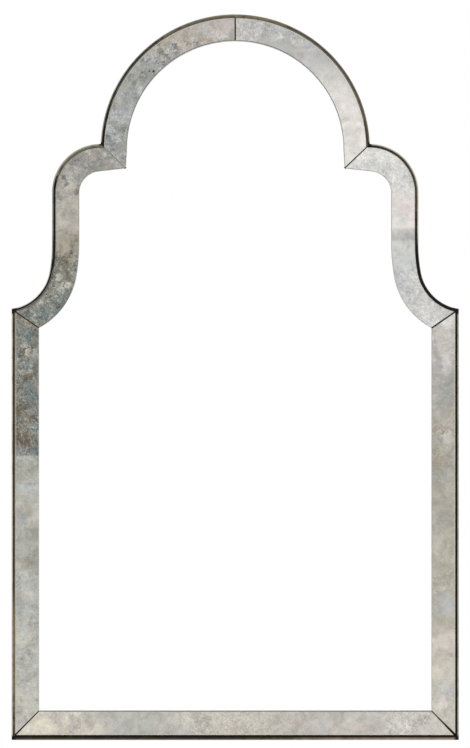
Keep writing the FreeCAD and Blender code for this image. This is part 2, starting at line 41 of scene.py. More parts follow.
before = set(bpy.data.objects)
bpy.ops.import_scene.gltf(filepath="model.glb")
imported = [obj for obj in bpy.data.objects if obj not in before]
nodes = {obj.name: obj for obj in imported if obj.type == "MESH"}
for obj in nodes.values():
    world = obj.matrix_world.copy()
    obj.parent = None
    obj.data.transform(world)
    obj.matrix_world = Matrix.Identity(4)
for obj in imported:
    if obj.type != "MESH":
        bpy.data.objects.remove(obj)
cad_low, cad_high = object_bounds()
scene = bpy.context.scene
scene.view_settings.view_transform = "Standard"

# Colours of the finishes under plain white light.
TONES = {
    "white": "ffffff",
    "silver": "dcd9d3",
    "pale_grey": "cbcac6",
    "rose_white": "e6dad3",
    "warm_grey": "c6c1b4",
    "sage_grey": "b3b5ae",
    "stone": "a19f94",
    "pewter": "979a97",
    "fog": "b7b5b0",
    "cool_grey": "bcc0c3",
    "buff": "b1ac9c",
    "taupe": "aba297",
    "dove": "aeaa9f",
    "blue_grey": "a3aaae",
    "lilac_grey": "bcb9bc",
    "pearl": "dfddd8",
    "pearl_warm": "e6e1da",
    "blush": "a6988f",
    "wear_and_highlight": "b9b2a4",
    "slate": "6c7876",
    "teal_grey": "6c7b79",
    "earth": "5e513d",
    "umber": "7d7160",
    "moss": "6c6d62",
    "cream": "cfc6ae",
    "ivory": "ece5d2",
    "lilac": "b6afab",
    "sand": "a59d8c",
    "khaki": "7f7862",
    "linen": "cdc8bc",
    "smoke": "5f625c",
    "ash": "878883",
    "olive": "6b6450",
    "bone": "dcd6ca",
    "pale_edge": "c3c6c1",
    "soot": "3a3833",
    "black": "080706",
    "bronze": "594a36",
    "tan": "a39077",
    "glass_edge": "7e8a83",
    "board": "8c6f51",
    "board_dark": "6d5339",
    "board_light": "a98a67",
    "zinc": "b9bcbe",
    "zinc_dark": "8d9092",
    "rubber": "2b2a29",
    "rubber_dust": "4b4946",
    "tape": "d9d7d0",
    "tape_dark": "b4b1a8",
    "adhesive": "cfc9ba",
    "adhesive_dark": "a89f8c",
    "floor": "efeeec",
    "floor_dark": "ebeae8",
}


def colour(tone):
    """A tone as linear red, green, blue and alpha."""
    code = TONES[tone]
    levels = [int(code[start:start + 2], 16) / 255 for start in (0, 2, 4)]
    linear = [level / 12.92 if level <= 0.04045 else ((level + 0.055) / 1.055) ** 2.4 for level in levels]
    return (*linear, 1)


# The axes of the frame by number.
ACROSS = 0
DEPTH = 1
UP = 2

# The level that noise lies about, and the detail of the noise that pushes places about.
NOISE_MEAN = 0.5
PUSH_DETAIL = 3.0


class Recipe:
    """A node material that is built up layer by layer."""

    def __init__(self, name):
        self.material = bpy.data.materials.new(name)
        self.material.use_nodes = True
        self.tree = self.material.node_tree
        self.shader = self.tree.nodes["Principled BSDF"]
        self.place = self.add("ShaderNodeTexCoord").outputs["Object"]

    def add(self, kind, inputs=None, **settings):
        """A new node. Each of its inputs is a plain value or the output of another node."""
        node = self.tree.nodes.new(kind)
        for name, value in settings.items():
            setattr(node, name, value)
        for name, value in (inputs or {}).items():
            self.feed(node.inputs[name], value)
        return node

    def feed(self, socket, value):
        if isinstance(value, bpy.types.NodeSocket):
            self.tree.links.new(value, socket)
        else:
            socket.default_value = value

    def finish(self, **inputs):
        """Feeds the shader, with spaces in its sockets' names written as underscores."""
        for name, value in inputs.items():
            self.feed(self.shader.inputs[name.replace("_", " ")], value)
        return self.material

    def math(self, operation, first, second=0.0):
        return self.add("ShaderNodeMath", {0: first, 1: second}, operation=operation).outputs[0]

    def product(self, first, *others):
        for other in others:
            first = self.math("MULTIPLY", first, other)
        return first

    def swing(self, noise):
        """A noise as a swing about zero."""
        return self.math("SUBTRACT", noise, NOISE_MEAN)

    def step(self, value, low, high, first=0.0, last=1.0):
        """A smooth change from first to last while the value goes from low to high."""
        inputs = {"Value": value, "From Min": low, "From Max": high, "To Min": first, "To Max": last}
        return self.add("ShaderNodeMapRange", inputs, interpolation_type="SMOOTHSTEP").outputs[0]

    def mix(self, share, first, second):
        """One colour laid over another. A tone's name stands for its colour."""
        first, second = [colour(tone) if isinstance(tone, str) else tone for tone in (first, second)]
        return self.add("ShaderNodeMix", {0: share, 6: first, 7: second}, data_type="RGBA").outputs[2]

    def vector(self, operation, first, second):
        return self.add("ShaderNodeVectorMath", {0: first, 1: second}, operation=operation).outputs[0]

    def scaled(self, vector, factor):
        inputs = {0: vector, "Scale": factor}
        return self.add("ShaderNodeVectorMath", inputs, operation="SCALE").outputs[0]

    def reach(self, first, second):
        inputs = {0: first, 1: second}
        return self.add("ShaderNodeVectorMath", inputs, operation="DISTANCE").outputs["Value"]

    def dot(self, first, second):
        inputs = {0: first, 1: second}
        return self.add("ShaderNodeVectorMath", inputs, operation="DOT_PRODUCT").outputs["Value"]

    def axis(self, index, vector=None):
        return self.add("ShaderNodeSeparateXYZ", {0: vector or self.place}).outputs[index]

    def flat(self):
        """The place in the frame, seen along its depth."""
        return self.add("ShaderNodeCombineXYZ", {0: self.axis(ACROSS), 2: self.axis(UP)}).outputs[0]

    def folded(self):
        """The same place with the left half folded over onto the right one."""
        sideways = self.math("ABSOLUTE", self.axis(ACROSS))
        return self.add("ShaderNodeCombineXYZ", {0: sideways, 2: self.axis(UP)}).outputs[0]

    def moved(self, seed, steps, start=(0, 0, 0)):
        """The place in the frame, moved so that equal patterns differ from piece to piece."""
        offset = [low + seed * step for low, step in zip(start, steps)]
        return self.vector("ADD", self.place, offset)

    def uneven(self, place, scale, reach):
        """A place that is pushed about by noise, so that what is laid out from it has uneven outlines."""
        inputs = {"Vector": self.place, "Scale": scale, "Detail": PUSH_DETAIL}
        push = self.add("ShaderNodeTexNoise", inputs).outputs["Color"]
        push = self.vector("SUBTRACT", push, [NOISE_MEAN] * 3)
        return self.vector("ADD", place, self.scaled(push, reach))

    def noise(self, scale, detail, roughness, distortion=0.0, place=None):
        inputs = {"Vector": place or self.place, "Scale": scale, "Detail": detail}
        inputs.update({"Roughness": roughness, "Distortion": distortion})
        return self.add("ShaderNodeTexNoise", inputs).outputs[0]

    def shards(self, scale, place=None):
        """Small cells, each with a level of its own between 0 and 1."""
        inputs = {"Vector": place or self.place, "Scale": scale}
        return self.axis(0, self.add("ShaderNodeTexVoronoi", inputs).outputs["Color"])

    def normal(self):
        return self.add("ShaderNodeNewGeometry").outputs["True Normal"]

    def facing(self):
        """How far a face looks to the front: 1 for a front face, 0 for a side, below 0 for a back."""
        return self.math("MULTIPLY", self.axis(DEPTH, self.normal()), -1.0)

    def bump(self, height, strength, distance):
        inputs = {"Height": height, "Strength": strength, "Distance": distance}
        return self.add("ShaderNodeBump", inputs).outputs[0]


def band(recipe, along, low, high, soft):
    """1 between two levels and 0 outside them."""
    rise = recipe.step(along, low - soft, low + soft)
    fall = recipe.step(along, high - soft, high + soft, 1.0, 0.0)
    return recipe.product(rise, fall)


# The joints between the strips, for one half: where each starts at the sight edge, and where it ends.
JOINTS = {
    "crown": ((0, 0.4593), (0, 0.4902)),
    "notch": ((0.1496, 0.2854), (0.1792, 0.3137)),
    "side": ((0.2682, 0.0670), (0.3002, 0.0892)),
    "base": ((0.2682, -0.4558), (0.3002, -0.4883)),
}
RIGHT_HALF = 1
LEFT_HALF = -1
JOINT_HALF_WIDTH = 0.0016
SOFT_LINE = 0.0002

# Joints beside which the strips are painted black: which half, and the widths at the sight edge and at the
# rim.
BLACK_BESIDE_JOINTS = [
    ("crown", RIGHT_HALF, 0.0009, 0.0009),
    ("side", RIGHT_HALF, 0.0010, 0.0010),
    ("base", RIGHT_HALF, 0.0005, 0.0017),
    ("base", LEFT_HALF, 0.0003, 0.0011),
]

# Joints whose arrises get no painted shade, so that only the gap between them is dark.
UNSHADED_JOINTS = [("notch", LEFT_HALF)]


def beside_joint(recipe, place, joint, half, start_width, end_width):
    """1 beside a joint, within half a width that may change from its start to its end."""
    start, end = [Vector((x * half, 0, z)) for x, z in JOINTS[joint]]
    way = end - start
    square_to_way = Vector((-way.z, 0, way.x))
    from_start = recipe.vector("SUBTRACT", place, start)
    along = recipe.dot(from_start, way.normalized())
    off = recipe.math("ABSOLUTE", recipe.dot(from_start, square_to_way.normalized()))
    width = recipe.step(along, 0.0, way.length, start_width, end_width)
    near = recipe.step(recipe.math("SUBTRACT", off, width), SOFT_LINE, -SOFT_LINE)
    return recipe.product(near, band(recipe, along, 0.0, way.length, SOFT_LINE))


def joint_shadow(recipe):
    """1 on the plate under the open joints of the border, where a shadow is painted black."""
    place = recipe.folded()
    shadow = 0.0
    for joint in JOINTS:
        beside = beside_joint(recipe, place, joint, RIGHT_HALF, JOINT_HALF_WIDTH, JOINT_HALF_WIDTH)
        shadow = recipe.math("MAXIMUM", shadow, beside)
    return shadow


# Levels between which a face of the glass turns into a side or an arris, or towards the sight edge.
SIDE_LEVELS = (0.5, 0.3)
ARRIS_LEVELS = (0.97, 0.8)
INWARD_LEVELS = (-0.45, -0.6)

# The strips' front and arris, how deep on the arris a joint's painted shade begins, and the width of the
# painted highlight beside the rim.
STRIP_FRONT = -0.0225
STRIP_ARRIS = 0.0008
SEAM_SHADE_SHARES = (0.2, 0.4)
RIM_SIDE_HIGHLIGHT = 0.0016
RIM_SIDE_HIGHLIGHT_FULL_SHARE = 0.6
HIGHLIGHT_SHARE = 0.45

# Noises of the patina: scale, detail, roughness and distortion. Steps move them from strip to strip.
DRIFT = (14, 3, 0.55, 0.7)
PATCHES = (36, 3, 0.55, 1.0)
BLOTCHES = (48, 4, 0.62, 0.9)
GRIT = (430, 3, 0.7, 0.0)
CRACKLE = (75, 5, 0.65, 1.0)
HAIRS = (140, 2, 0.5, 1.2)
SHARD_SCALE = 360
PATINA_STEPS = (3.1, 1.7, 2.3)
OTHER_STEPS = (1.3, 0.0, 2.9)
OTHER_START = (0.0, 4.0, 0.0)

# How far noise pushes the ends of bands, large stains and flecks about, how finely, and how it frays stains.
BAND_CREEP = 0.07
STAIN_CREEP = 0.04
STAIN_CREEP_SCALE = 65.0
FLECK_CREEP = 0.009
FLECK_CREEP_SCALE = 330.0
STAIN_RAGGEDNESS = 1.7
STAIN_GRITTINESS = 1.4

# Bands with sharper ends than this end straight, and stains up to this radius don't creep.
SHARP_END = 0.0025
SMALL_STAIN = 0.0055

# Levels of the noises between which each trait of the patina comes up.
COLD_LEVELS = (0.52, 0.68)
WARM_LEVELS = (0.48, 0.32)
STAIN_LEVELS = (1.05, 0.5)
LIGHT_SHARD_LEVELS = (0.8, 0.95)
LIGHT_BLOTCH_LEVELS = (0.4, 0.58)
DARK_SHARD_LEVELS = (0.28, 0.1)
DARK_BLOTCH_LEVELS = (0.6, 0.45)
BROKEN_LEVELS = (0.40, 0.58)
CRACKED_LEVELS = (0.40, 0.54)
HAIR_LEVELS = (0.45, 0.6)
VEIN_OFFSET = 0.05
VEIN_WIDTH = 0.03
HAIR_WIDTH = 0.035
DARK_VEIN_SHARE = 0.5


class Patina(Recipe):
    """Silver that has clouded, flecked and foxed along one strip of glass."""

    def __init__(self, name, seed, axis):
        super().__init__(name)
        self.own_place = self.moved(seed, PATINA_STEPS)
        other_place = self.moved(seed, OTHER_STEPS, OTHER_START)
        self.flat_place = self.flat()
        self.drift = self.noise(*DRIFT, self.own_place)
        self.patches = self.noise(*PATCHES, self.own_place)
        self.blotches = self.noise(*BLOTCHES, other_place)
        self.grit = self.noise(*GRIT, self.own_place)
        self.grit_swing = self.swing(self.grit)
        self.crackle = self.swing(self.noise(*CRACKLE, other_place))
        self.ragged = self.swing(self.blotches)
        self.along = self.axis(axis)
        self.ragged_along = self.math("ADD", self.along, self.product(self.ragged, BAND_CREEP))

    def stretch(self, low, high, soft):
        """1 along a stretch of the strip, whose ends are ragged unless they are sharp."""
        return band(self, self.along if soft < SHARP_END else self.ragged_along, low, high, soft)

    def banded(self, silver, bands):
        """Silver with bands of other tones along the strip."""
        for low, high, soft, tone, share in bands:
            silver = self.mix(self.product(self.stretch(low, high, soft), share), silver, tone)
        return silver

    def tinted(self, silver, cold_tone, cold_share, warm_tone, warm_share):
        """Silver with a cold and a warm tone in drifts and patches."""
        for hue in (self.drift, self.patches):
            silver = self.mix(self.step(hue, *COLD_LEVELS, 0.0, cold_share), silver, cold_tone)
            silver = self.mix(self.step(hue, *WARM_LEVELS, 0.0, warm_share), silver, warm_tone)
        return silver

    def stained(self, silver, stains):
        """Silver with single stains, whose outlines are frayed."""
        crept_place = self.uneven(self.flat_place, STAIN_CREEP_SCALE, STAIN_CREEP)
        fray = self.product(self.ragged, STAIN_RAGGEDNESS)
        fray = self.math("ADD", fray, self.product(self.grit_swing, STAIN_GRITTINESS))
        for x, z, radius, tone, share in stains:
            place = crept_place if radius > SMALL_STAIN else self.flat_place
            spread = self.math("DIVIDE", self.reach(place, (x, 0, z)), radius)
            mask = self.step(self.math("ADD", spread, fray), *STAIN_LEVELS, 0.0, share)
            silver = self.mix(mask, silver, tone)
        return silver

    def busy(self, calm_share, fields):
        """How busy the silver is: calm all along, apart from some fields."""
        zone = calm_share
        for low, high, soft, share in fields:
            zone = self.math("MAXIMUM", zone, self.product(self.stretch(low, high, soft), share))
        return zone

    def clouded(self, silver, zone, cloud, grain):
        """Silver that is lighter and darker in clouds, and grainy where it is busy."""
        shade = self.math("ADD", self.product(self.grit_swing, grain, zone), 1.0)
        for clouding in (self.ragged, self.crackle):
            shade = self.math("ADD", shade, self.product(clouding, cloud))
        return self.scaled(silver, shade)

    def flecked(self, silver, zone, fleck_tone, fleck_share, pit_share):
        """Silver with light flecks and dark pits, and the flecks alone."""
        fleck_place = self.uneven(self.own_place, FLECK_CREEP_SCALE, FLECK_CREEP)
        shard = self.shards(SHARD_SCALE, fleck_place)
        light = self.step(shard, *LIGHT_SHARD_LEVELS)
        light = self.product(light, self.step(self.blotches, *LIGHT_BLOTCH_LEVELS))
        fleck = self.product(light, zone, fleck_share)
        silver = self.mix(fleck, silver, fleck_tone)
        dark = self.step(shard, *DARK_SHARD_LEVELS)
        dark = self.product(dark, self.step(self.blotches, *DARK_BLOTCH_LEVELS))
        return self.mix(self.product(dark, zone, pit_share), silver, "soot"), fleck

    def veined(self, silver, vein_share):
        """Silver with dark and light veins and fine hairlines, all broken up by grit."""
        broken = self.step(self.grit, *BROKEN_LEVELS)
        cracked = self.product(self.step(self.drift, *CRACKED_LEVELS), broken)
        veins = [(VEIN_OFFSET, "smoke", vein_share * DARK_VEIN_SHARE), (-VEIN_OFFSET, "bone", vein_share)]
        for offset, tone, share in veins:
            off = self.math("ABSOLUTE", self.math("ADD", self.crackle, offset))
            vein = self.product(self.step(off, VEIN_WIDTH, 0.0, 0.0, share), cracked)
            silver = self.mix(vein, silver, tone)
        off = self.math("ABSOLUTE", self.swing(self.noise(*HAIRS, self.own_place)))
        hair = self.step(off, HAIR_WIDTH, 0.0, 0.0, vein_share)
        hair = self.product(hair, self.step(self.patches, *HAIR_LEVELS), broken)
        return self.mix(hair, silver, "pearl_warm")

    def edged(self, silver, outward, sight_shade_share, hub, outer):
        """Silver with painted highlights on the joints' arrises and beside the rim, painted shade along the
        sight edge and in the joints, black lines beside some joints, and the edges that have no silver.
        """
        facing = self.facing()
        side = self.step(facing, *SIDE_LEVELS)
        arris = self.step(facing, *ARRIS_LEVELS)
        sight_arris = self.product(arris, self.step(self.dot(self.normal(), outward), *INWARD_LEVELS))
        seam_arris = self.math("SUBTRACT", arris, sight_arris)
        # Painted shade: the arrises of the joints turn black from a depth down, where shade falls into the
        # joint.
        shade_depths = [STRIP_FRONT + STRIP_ARRIS * share for share in SEAM_SHADE_SHARES]
        seam_shade = self.product(seam_arris, self.step(self.axis(DEPTH), *shade_depths))
        for joint, half in UNSHADED_JOINTS:
            beside = beside_joint(self, self.flat_place, joint, half, JOINT_HALF_WIDTH, JOINT_HALF_WIDTH)
            seam_shade = self.product(seam_shade, self.math("SUBTRACT", 1.0, beside))
        # Painted highlight: an ivory band on the face along the outer edge, beside the rim.
        if outer:
            reach = self.dot(self.place, outward)
            if hub:
                reach = self.reach(self.flat_place, (hub[0], 0, hub[1]))
            light = self.step(reach, outer - RIM_SIDE_HIGHLIGHT, outer - RIM_SIDE_HIGHLIGHT * RIM_SIDE_HIGHLIGHT_FULL_SHARE)
            silver = self.mix(self.product(light, HIGHLIGHT_SHARE), silver, "ivory")
        # Painted highlight: the arrises beside the joints turn ivory.
        silver = self.mix(self.product(seam_arris, HIGHLIGHT_SHARE), silver, "ivory")
        for joint, half, start_width, end_width in BLACK_BESIDE_JOINTS:
            black_beside = beside_joint(self, self.flat_place, joint, half, start_width, end_width)
            silver = self.mix(black_beside, silver, "black")
        # Painted shade along the sight edge: its arris turns sooty, and its side face goes over from a pale
        # tone to the darker glass edge as the share grows.
        silver = self.mix(self.product(sight_arris, sight_shade_share), silver, "soot")
        silver = self.mix(side, silver, self.mix(sight_shade_share, "pale_edge", "glass_edge"))
        return self.mix(seam_shade, silver, "black"), self.math("MAXIMUM", side, seam_shade)


def antique_glass(
    name, seed, axis, base, bands, tints, stains, calm_share, fields, cloud, grain, flecks,
    pit_share, vein_share, **edges,
):
    """Antiqued silver behind the clear polished face of a strip of glass."""
    patina = Patina(name, seed, axis)
    silver = patina.banded(colour(base), bands)
    silver = patina.tinted(silver, *tints)
    silver = patina.stained(silver, stains)
    zone = patina.busy(calm_share, fields)
    silver = patina.clouded(silver, zone, cloud, grain)
    silver, fleck = patina.flecked(silver, zone, *flecks, pit_share)
    silver = patina.veined(silver, vein_share)
    silver, bare_and_shaded_edge = patina.edged(silver, **edges)
    bare_and_shaded = patina.math("MAXIMUM", bare_and_shaded_edge, fleck)
    return patina.finish(
        Base_Color=silver,
        Metallic=patina.step(bare_and_shaded, low=0.0, high=1.0, first=0.8, last=0.05),
        Roughness=patina.step(patina.blotches, low=0.3, high=0.7, first=0.2, last=0.38),
        Normal=patina.bump(patina.grit, strength=0.1, distance=0.0003),
        Coat_Weight=1.0,
        Coat_Roughness=0.03,
        Coat_IOR=1.5,
    )


# Ways from the middle of the mirror to the outer edges of the strips.
DIAGONAL = math.sqrt(0.5)
LEFT_UP = (-DIAGONAL, 0, DIAGONAL)
RIGHT_UP = (DIAGONAL, 0, DIAGONAL)
LEFT = (-1, 0, 0)
RIGHT = (1, 0, 0)
DOWN = (0, 0, -1)

# Where the strips meet the rim: round the arch's hub, at the sides and at the bottom.
ARCH_HUB = (0, 0.3110)
ARCH_OUTER = 0.1792
SIDE_OUTER = 0.3002
BOTTOM_OUTER = 0.4883

# Each strip's own patina, laid out along its height, or along its length for the bottom one.
# A band has two ends, their softness, a tone and its share.
# A stain has x, z, a radius, a tone and its share.
# Tints are a cold and a warm tone with their shares.
# A field has two ends, their softness and the share of its flecks and grain.
STRIP_LOOKS = {
    "arch_strip_left": dict(
        seed=1, axis=UP, outward=LEFT_UP, base="taupe",
        bands=[
            (0.472, 0.52, 0.012, "lilac", 0.9),
            (0.28, 0.446, 0.010, "blue_grey", 0.9),
            (0.365, 0.440, 0.016, "pewter", 0.8),
            (0.28, 0.345, 0.016, "pewter", 1.0),
        ],
        tints=("cool_grey", 0.45, "stone", 0.6),
        stains=[
            (-0.0952, 0.4433, 0.016, "ash", 0.6),
            (-0.1102, 0.4392, 0.009, "smoke", 0.35),
            (-0.1116, 0.4174, 0.0018, "black", 1.0),
            (-0.1170, 0.4174, 0.0012, "soot", 1.0),
            (-0.1266, 0.4160, 0.0012, "soot", 0.9),
            (-0.1320, 0.4092, 0.009, "moss", 0.45),
            (-0.1293, 0.3949, 0.0036, "ivory", 0.4),
            (-0.1607, 0.3737, 0.0060, "cream", 0.45),
            (-0.0229, 0.4651, 0.008, "ivory", 0.25),
            (-0.0652, 0.4570, 0.013, "sand", 0.5),
            (-0.1560, 0.3340, 0.010, "slate", 0.5),
            (-0.1690, 0.3180, 0.012, "slate", 0.5),
            (-0.1498, 0.3396, 0.0066, "khaki", 0.6),
            (-0.1757, 0.3287, 0.0030, "smoke", 0.7),
            (-0.1680, 0.3690, 0.0045, "khaki", 0.45),
            (-0.1580, 0.3480, 0.0100, "pewter", 0.5),
            (-0.0300, 0.4720, 0.006, "pearl_warm", 0.35),
            (-0.1075, 0.4406, 0.0060, "umber", 0.5),
            (-0.0911, 0.4447, 0.0054, "pearl", 0.6),
            (-0.1020, 0.4365, 0.0036, "linen", 0.6),
            (-0.0979, 0.4283, 0.0042, "smoke", 0.7),
            (-0.0816, 0.4528, 0.0046, "smoke", 0.6),
            (-0.0990, 0.4510, 0.0030, "cream", 0.5),
        ],
        calm_share=0.2,
        fields=[(0.426, 0.456, 0.008, 1.0), (0.28, 0.42, 0.01, 0.42)],
        cloud=0.5, grain=2.0, flecks=("cream", 0.7), pit_share=0.7, vein_share=0.65,
        sight_shade_share=0.9, hub=ARCH_HUB, outer=ARCH_OUTER,
    ),
    "arch_strip_right": dict(
        seed=2, axis=UP, outward=RIGHT_UP, base="silver",
        bands=[
            (0.425, 0.51, 0.012, "fog", 0.95),
            (0.420, 0.465, 0.012, "blue_grey", 0.25),
            (0.388, 0.428, 0.010, "fog", 0.35),
            (0.28, 0.392, 0.016, "pearl_warm", 0.95),
        ],
        tints=("cool_grey", 0.15, "lilac_grey", 0.25),
        stains=[
            (0.0200, 0.4760, 0.009, "sage_grey", 0.8),
            (0.0140, 0.4800, 0.005, "stone", 0.5),
            (0.0120, 0.4640, 0.008, "lilac", 0.5),
            (0.0350, 0.4690, 0.008, "pearl_warm", 0.7),
            (0.0446, 0.4820, 0.005, "blush", 0.5),
            (0.0640, 0.4720, 0.013, "cool_grey", 0.7),
            (0.0560, 0.4610, 0.008, "pearl_warm", 0.5),
            (0.0900, 0.4440, 0.010, "lilac", 0.5),
        ],
        calm_share=0.12,
        fields=[(0.458, 0.51, 0.008, 1.0)],
        cloud=0.6, grain=1.6, flecks=("bone", 0.8), pit_share=0.25, vein_share=0.2,
        sight_shade_share=0.9, hub=ARCH_HUB, outer=ARCH_OUTER,
    ),
    "shoulder_strip_left": dict(
        seed=3, axis=UP, outward=LEFT_UP, base="taupe",
        bands=[
            (0.262, 0.33, 0.01, "pewter", 0.6),
            (0.277, 0.33, 0.006, "ash", 0.75),
            (0.196, 0.25, 0.012, "dove", 0.9),
            (0.168, 0.198, 0.008, "sand", 1.0),
            (0.165, 0.180, 0.006, "khaki", 0.5),
            (0.05, 0.170, 0.006, "moss", 0.95),
        ],
        tints=("pewter", 0.3, "stone", 0.3),
        stains=[
            (-0.1800, 0.3000, 0.036, "ash", 0.5),
            (-0.1948, 0.3028, 0.013, "blush", 0.7),
            (-0.1607, 0.2905, 0.012, "blush", 0.6),
            (-0.2003, 0.3069, 0.0054, "linen", 0.6),
            (-0.1784, 0.3042, 0.0040, "linen", 0.6),
            (-0.1689, 0.2946, 0.0040, "linen", 0.35),
            (-0.1880, 0.2960, 0.0040, "smoke", 0.4),
            (-0.2260, 0.2640, 0.0120, "linen", 0.5),
            (-0.2220, 0.2790, 0.0090, "linen", 0.5),
            (-0.2309, 0.2694, 0.0058, "smoke", 0.85),
            (-0.2384, 0.2591, 0.0066, "smoke", 0.7),
            (-0.2166, 0.2523, 0.0052, "smoke", 0.8),
            (-0.2425, 0.2428, 0.0065, "slate", 0.6),
            (-0.2111, 0.2891, 0.0060, "pewter", 0.6),
            (-0.2234, 0.2837, 0.0050, "smoke", 0.4),
            (-0.2384, 0.1432, 0.011, "teal_grey", 0.4),
            (-0.2534, 0.0886, 0.017, "teal_grey", 0.9),
            (-0.2380, 0.1100, 0.011, "slate", 0.8),
            (-0.2340, 0.1260, 0.011, "linen", 0.7),
            (-0.2420, 0.1310, 0.007, "linen", 0.5),
            (-0.2380, 0.1190, 0.007, "linen", 0.5),
            (-0.2560, 0.1120, 0.006, "linen", 0.2),
            (-0.2280, 0.1620, 0.012, "earth", 0.8),
            (-0.2300, 0.1330, 0.008, "khaki", 0.4),
            (-0.2370, 0.1500, 0.010, "khaki", 0.6),
            (-0.2644, 0.1022, 0.007, "linen", 0.4),
            (-0.2700, 0.0800, 0.012, "teal_grey", 0.7),
            (-0.2440, 0.1010, 0.010, "slate", 0.6),
            (-0.2793, 0.0886, 0.008, "slate", 0.5),
        ],
        calm_share=0.2,
        fields=[(0.05, 0.168, 0.006, 1.0), (0.25, 0.33, 0.01, 0.45)],
        cloud=0.85, grain=3.0, flecks=("linen", 0.6), pit_share=0.8, vein_share=0.3,
        sight_shade_share=0.3, hub=None, outer=None,
    ),
    "shoulder_strip_right": dict(
        seed=4, axis=UP, outward=RIGHT_UP, base="pale_grey",
        bands=[
            (0.24, 0.33, 0.012, "pearl", 0.85),
            (0.203, 0.254, 0.008, "pearl_warm", 0.6),
            (0.187, 0.203, 0.0024, "fog", 0.95),
            (0.160, 0.187, 0.008, "cool_grey", 0.15),
        ],
        tints=("cool_grey", 0.5, "pearl", 0.3),
        stains=[
            (0.2440, 0.2300, 0.030, "rose_white", 0.7),
            (0.2360, 0.1880, 0.010, "blue_grey", 0.3),
            (0.2300, 0.2640, 0.012, "cool_grey", 0.2),
            (0.2050, 0.2800, 0.012, "cool_grey", 0.4),
            (0.2420, 0.1560, 0.012, "cool_grey", 0.4),
            (0.2560, 0.1160, 0.012, "cool_grey", 0.4),
            (0.2740, 0.0960, 0.008, "cool_grey", 0.4),
        ],
        calm_share=0.12,
        fields=[(0.05, 0.150, 0.01, 0.7), (0.25, 0.33, 0.008, 0.7)],
        cloud=0.6, grain=1.5, flecks=("white", 0.8), pit_share=0.25, vein_share=0.25,
        sight_shade_share=0.2, hub=None, outer=None,
    ),
    "side_strip_left": dict(
        seed=5, axis=UP, outward=LEFT, base="sage_grey",
        bands=[
            (-0.21, -0.150, 0.012, "linen", 0.35),
            (-0.275, -0.20, 0.02, "stone", 0.7),
            (-0.52, -0.345, 0.03, "linen", 0.2),
            (-0.52, -0.415, 0.02, "linen", 0.5),
            (-0.107, 0.12, 0.0008, "moss", 0.92),
            (-0.107, -0.098, 0.002, "slate", 0.9),
            (-0.107, -0.094, 0.002, "smoke", 0.5),
        ],
        tints=("blue_grey", 0.2, "khaki", 0.3),
        stains=[
            (-0.2821, 0.0763, 0.014, "khaki", 0.8),
            (-0.2720, 0.0560, 0.010, "khaki", 0.7),
            (-0.2880, 0.0380, 0.009, "linen", 0.5),
            (-0.2880, 0.0586, 0.014, "teal_grey", 0.9),
            (-0.2793, 0.0327, 0.012, "linen", 0.35),
            (-0.2960, 0.0300, 0.009, "khaki", 0.6),
            (-0.2882, 0.0149, 0.009, "blue_grey", 0.5),
            (-0.2720, 0.0120, 0.008, "khaki", 0.6),
            (-0.2903, -0.0001, 0.008, "khaki", 0.6),
            (-0.2793, -0.0014, 0.010, "earth", 0.7),
            (-0.2780, -0.0243, 0.017, "teal_grey", 0.9),
            (-0.2896, -0.0246, 0.006, "blue_grey", 0.6),
            (-0.2944, -0.0437, 0.009, "earth", 0.9),
            (-0.2850, -0.0560, 0.012, "earth", 0.7),
            (-0.2900, -0.0724, 0.017, "olive", 1.0),
            (-0.2760, -0.0800, 0.010, "olive", 0.6),
            (-0.2840, -0.0880, 0.018, "earth", 0.8),
            (-0.2725, -0.0683, 0.010, "teal_grey", 0.8),
            (-0.2760, -0.1000, 0.012, "teal_grey", 0.6),
            (-0.2860, -0.1240, 0.026, "stone", 0.8),
            (-0.2970, -0.1690, 0.012, "ivory", 0.3),
            (-0.2800, -0.1500, 0.020, "cool_grey", 0.35),
            (-0.2790, -0.1965, 0.012, "linen", 0.6),
            (-0.2930, -0.1960, 0.012, "blue_grey", 0.6),
            (-0.2848, -0.2480, 0.010, "umber", 0.35),
            (-0.2957, -0.2540, 0.011, "linen", 0.5),
            (-0.2890, -0.2700, 0.010, "pale_edge", 0.7),
            (-0.2790, -0.2950, 0.011, "linen", 0.6),
            (-0.2875, -0.3190, 0.013, "pale_edge", 0.5),
            (-0.2740, -0.3380, 0.012, "sand", 0.45),
            (-0.2930, -0.3575, 0.014, "ivory", 0.25),
            (-0.2850, -0.3900, 0.014, "stone", 0.5),
            (-0.2770, -0.3680, 0.012, "sand", 0.4),
            (-0.2800, -0.4080, 0.012, "sand", 0.4),
            (-0.2880, -0.4200, 0.014, "lilac_grey", 0.5),
            (-0.2930, -0.4500, 0.010, "ivory", 0.5),
        ],
        calm_share=0.14,
        fields=[
            (-0.107, 0.12, 0.0008, 0.75),
            (0.022, 0.047, 0.006, 1.0),
            (-0.090, -0.044, 0.006, 0.85),
            (-0.48, -0.255, 0.015, 0.25),
        ],
        cloud=0.8, grain=3.0, flecks=("linen", 0.6), pit_share=1.0, vein_share=0.3,
        sight_shade_share=0.1, hub=None, outer=SIDE_OUTER,
    ),
    "side_strip_right": dict(
        seed=6, axis=UP, outward=RIGHT, base="buff",
        bands=[
            (0.022, 0.12, 0.010, "pale_grey", 0.65),
            (0.004, 0.024, 0.008, "lilac_grey", 0.7),
            (-0.050, 0.006, 0.010, "pewter", 0.45),
            (-0.107, -0.046, 0.010, "taupe", 0.85),
            (-0.150, -0.085, 0.014, "stone", 0.95),
            (-0.205, -0.165, 0.012, "stone", 0.75),
            (-0.52, -0.345, 0.02, "linen", 0.85),
        ],
        tints=("sage_grey", 0.5, "taupe", 0.4),
        stains=[
            (0.2890, -0.0230, 0.022, "pewter", 0.5),
            (0.2760, -0.0060, 0.014, "lilac", 0.5),
            (0.2880, -0.1150, 0.016, "sand", 0.6),
